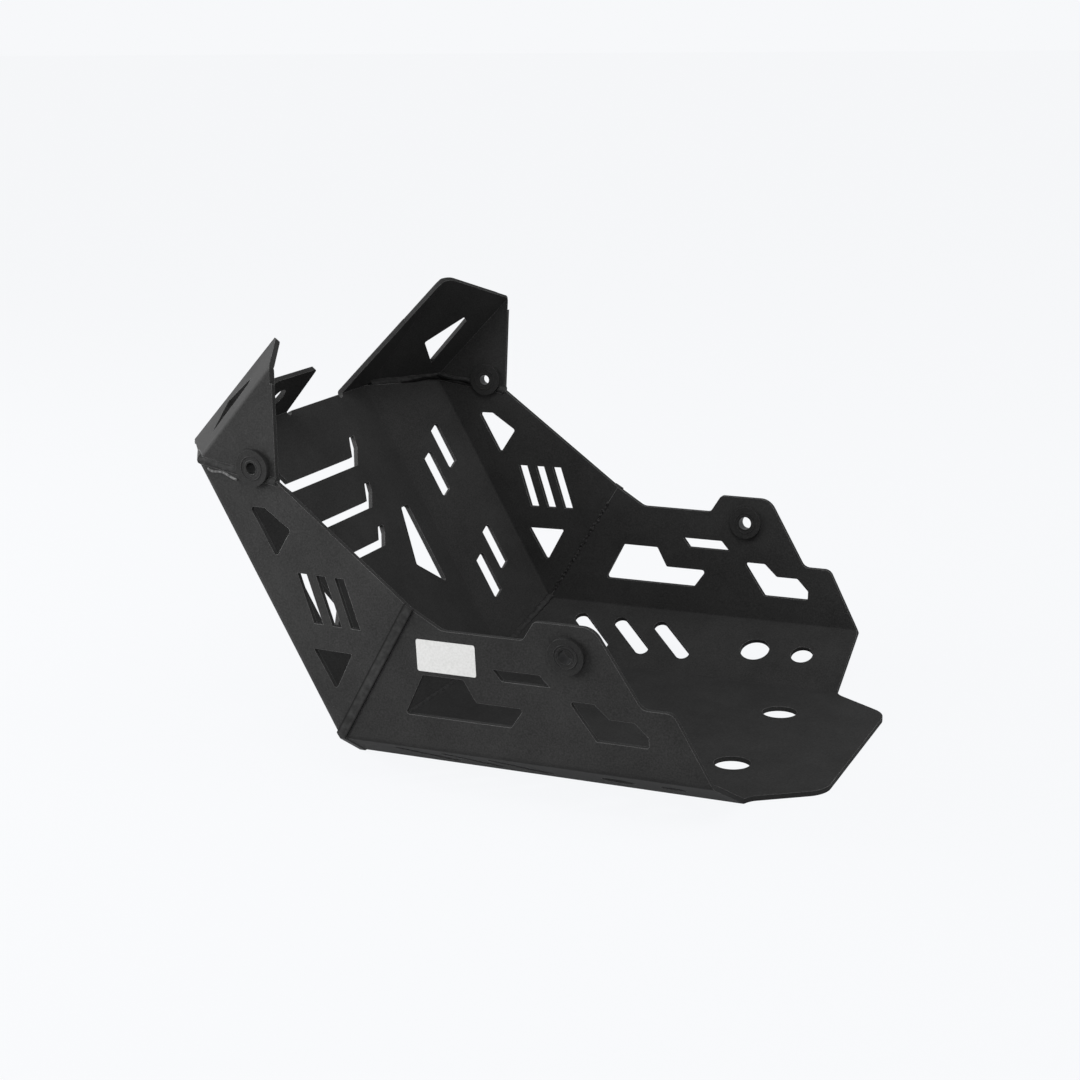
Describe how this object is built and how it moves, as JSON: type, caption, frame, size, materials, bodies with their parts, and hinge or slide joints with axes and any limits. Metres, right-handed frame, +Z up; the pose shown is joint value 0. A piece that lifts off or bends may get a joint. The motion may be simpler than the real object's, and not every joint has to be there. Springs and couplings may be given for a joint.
{
  "type": "motorcycle engine guard",
  "caption": "Black folded sheet-metal guard that bolts under a motorcycle's engine: a tray with a laid-back front plate, cut-outs, swept-back wings and rubber-mounted bolt sleeves.",
  "frame": {"origin": "middle of the bounding box in plan, at the underside of the floor", "axes": "+X to the rear of the motorcycle, -Y to the rider's left, +Z up"},
  "size_m": [0.3698, 0.3198, 0.2514],
  "materials": {
    "coated_sheet": "matte powder coat",
    "coated_weld": "satin powder coat",
    "grommet_rubber": "matte",
    "sleeve_steel": "dark plated"
  },
  "bodies": {
    "root": {"lower_pan": "coated_sheet", "front_pan": "coated_sheet", "seam_weld": "coated_weld", "wing_weld_left": "coated_weld", "wing_weld_right": "coated_weld", "wing_weld_tail_left": "coated_weld", "wing_weld_tail_right": "coated_weld", "grommet_front_left": "grommet_rubber", "sleeve_front_left": "sleeve_steel", "grommet_front_right": "grommet_rubber", "sleeve_front_right": "sleeve_steel", "grommet_rear_left": "grommet_rubber", "sleeve_rear_left": "sleeve_steel", "grommet_rear_right": "grommet_rubber", "sleeve_rear_right": "sleeve_steel"}
  },
  "joints": []
}
